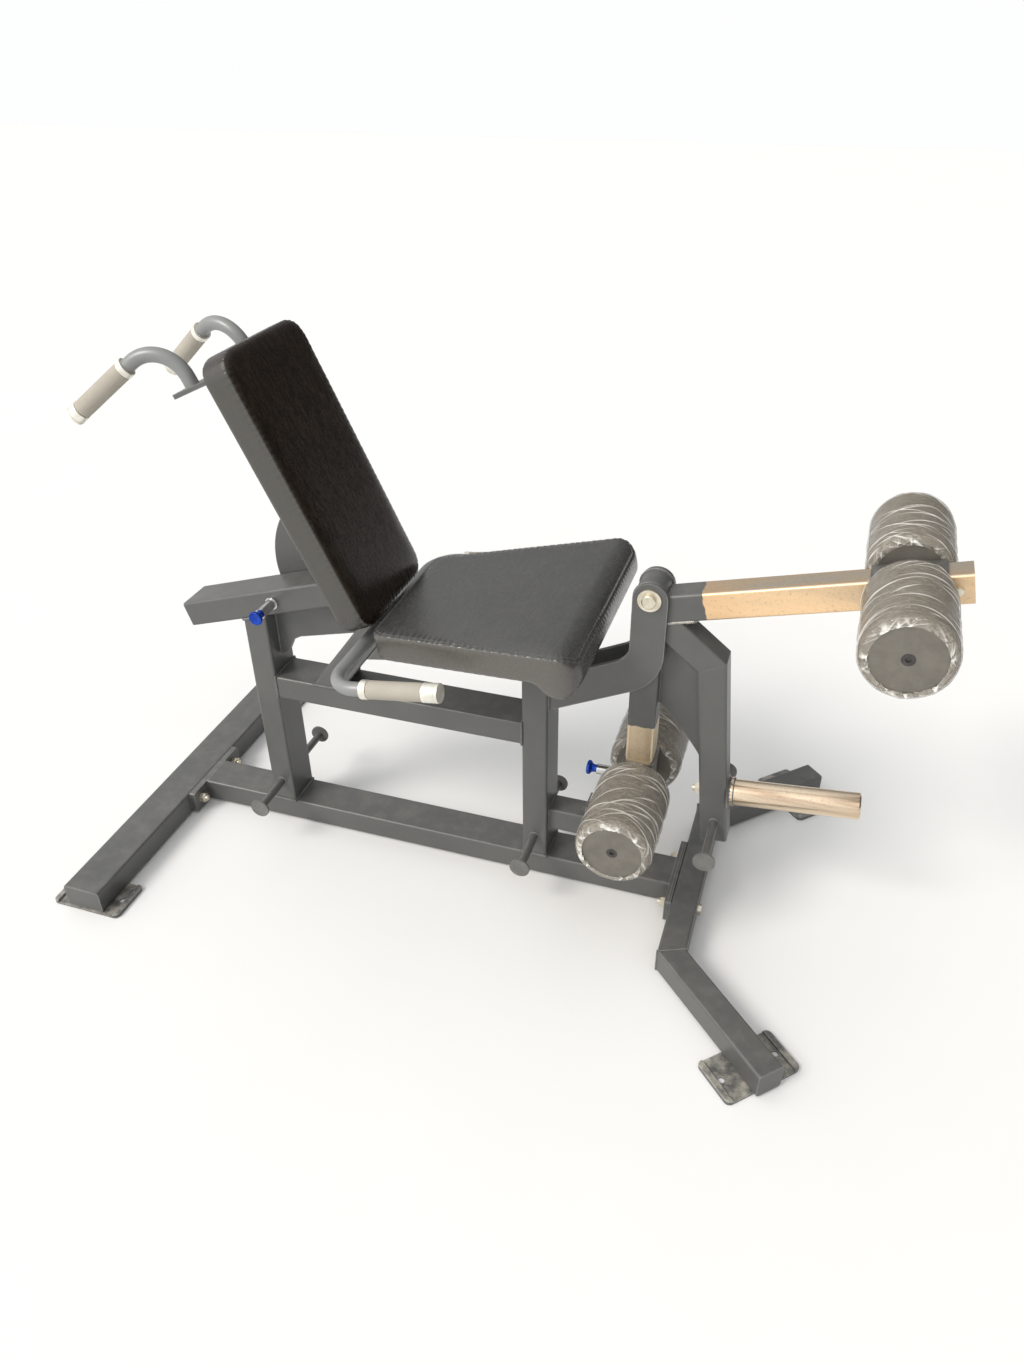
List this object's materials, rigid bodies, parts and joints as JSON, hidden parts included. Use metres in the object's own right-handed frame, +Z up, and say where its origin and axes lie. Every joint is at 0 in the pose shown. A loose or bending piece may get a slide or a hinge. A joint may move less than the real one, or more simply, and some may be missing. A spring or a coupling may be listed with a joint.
{
  "type": "plate-loaded leg extension and leg curl bench",
  "caption": "Bench with a reclining back pad and a pivoting roller frame loaded by weight plates, for seated leg extension and prone leg curl.",
  "frame": {"origin": "centre of the whole machine's outline, on the floor", "axes": "+X forward from the back pad to the rollers, +Y to the seated user's left, +Z up"},
  "size_m": [1.5716, 0.8968, 1.0427],
  "materials": {
    "frame_paint": "satin charcoal powder coat",
    "foot_paint": "satin charcoal powder coat, dusty",
    "zinc": "zinc plated",
    "bare_steel": "unpainted mill-finish steel, oiled",
    "black_vinyl": "grained black vinyl over foam",
    "plywood": "plain plywood",
    "grip_rubber": "ribbed soft grip",
    "bright_collar": "turned aluminium",
    "buffer_rubber": "moulded rubber",
    "blue_knob": "blue anodised knob on a bright steel pin",
    "bronze": "sintered bronze",
    "disc_grey": "satin dark grey",
    "roller_foam": "taupe foam in clear stretch film"
  },
  "bodies": {
    "base": {"base_rail": "frame_paint", "rear_crossbar": "frame_paint", "front_crossbar": "frame_paint", "front_leg_left": "frame_paint", "front_leg_right": "frame_paint", "rear_feet": "foot_paint", "front_feet": "foot_paint", "frame_flanges": "frame_paint", "flange_bolts": "zinc", "rear_upright": "frame_paint", "front_upright": "frame_paint", "middle_rail": "frame_paint", "seat_strut": "frame_paint", "seat_beam": "frame_paint", "back_beam": "frame_paint", "beam_gusset": "frame_paint", "pivot_plates": "frame_paint", "pivot_axle": "zinc", "stop_stub": "frame_paint", "stop_buffer": "buffer_rubber", "frame_band_pegs": "frame_paint", "seat_pad": "black_vinyl", "seat_board": "plywood", "seat_mounts": "frame_paint", "side_handle_bar": "frame_paint", "side_grips": "grip_rubber", "side_grip_collars": "bright_collar", "hinge_pin": "zinc", "back_lock_barrel": "zinc"},
    "back": {"back_pad": "black_vinyl", "back_board": "plywood", "back_spine": "frame_paint", "sector_plate": "frame_paint", "hinge_arm": "frame_paint", "handle_bracket": "frame_paint", "back_handle_left": "frame_paint", "back_handle_right": "frame_paint", "back_grips": "grip_rubber", "back_grip_collars": "bright_collar"},
    "back_lock": {"back_lock_pin": "blue_knob"},
    "swing": {"pivot_boss": "frame_paint", "pivot_bushes": "bronze", "upper_arm": "bare_steel", "lower_arm": "bare_steel", "loading_arm": "frame_paint", "arm_gusset": "frame_paint", "weight_horn": "bare_steel", "horn_bolt": "zinc", "arm_band_pegs": "frame_paint", "arm_stop_bolts": "zinc"},
    "upper_carriage": {"upper_carriage": "bare_steel", "upper_roller_discs": "disc_grey"},
    "upper_lock": {"upper_lock_pin": "blue_knob"},
    "upper_left_roller": {"upper_roller_left": "roller_foam"},
    "upper_right_roller": {"upper_roller_right": "roller_foam"},
    "lower_carriage": {"lower_carriage": "bare_steel", "lower_roller_discs": "disc_grey"},
    "lower_lock": {"lower_lock_pin": "blue_knob"},
    "lower_left_roller": {"lower_roller_left": "roller_foam"},
    "lower_right_roller": {"lower_roller_right": "roller_foam"}
  },
  "joints": [
    {"name": "swing_pivot", "type": "hinge", "parent": "base", "child": "swing", "pos_m": [0.3002, 0, 0.669], "axis": [0, -1, 0], "range_deg": [0, 105]},
    {"name": "back_recline", "type": "hinge", "parent": "base", "child": "back", "pos_m": [-0.2718, 0, 0.6], "axis": [0, -1, 0], "range_deg": [0, 80]},
    {"name": "back_lock_pull", "type": "slide", "parent": "base", "child": "back_lock", "axis": [0, -1, 0], "range_m": [0, 0.01], "stiffness_N_per_m": 900, "springref_m": -0.008},
    {"name": "upper_carriage_slide", "type": "slide", "parent": "swing", "child": "upper_carriage", "axis": [-0.9703, 0, -0.2419], "range_m": [0, 0.235]},
    {"name": "upper_lock_pull", "type": "slide", "parent": "upper_carriage", "child": "upper_lock", "axis": [0.2419, 0, -0.9703], "range_m": [0, 0.01], "stiffness_N_per_m": 900, "springref_m": -0.008},
    {"name": "upper_left_roller_spin", "type": "hinge", "parent": "upper_carriage", "child": "upper_left_roller", "pos_m": [0.69243, 0.127, 0.74103], "axis": [0, 1, 0], "continuous": true},
    {"name": "upper_right_roller_spin", "type": "hinge", "parent": "upper_carriage", "child": "upper_right_roller", "pos_m": [0.69243, -0.127, 0.74103], "axis": [0, 1, 0], "continuous": true},
    {"name": "lower_carriage_slide", "type": "slide", "parent": "swing", "child": "lower_carriage", "axis": [0, 0, 1], "range_m": [0, 0.07]},
    {"name": "lower_lock_pull", "type": "slide", "parent": "lower_carriage", "child": "lower_lock", "axis": [-1, 0, 0], "range_m": [0, 0.01], "stiffness_N_per_m": 900, "springref_m": -0.008},
    {"name": "lower_left_roller_spin", "type": "hinge", "parent": "lower_carriage", "child": "lower_left_roller", "pos_m": [0.2992, 0.127, 0.271], "axis": [0, 1, 0], "continuous": true},
    {"name": "lower_right_roller_spin", "type": "hinge", "parent": "lower_carriage", "child": "lower_right_roller", "pos_m": [0.2992, -0.127, 0.271], "axis": [0, 1, 0], "continuous": true}
  ]
}
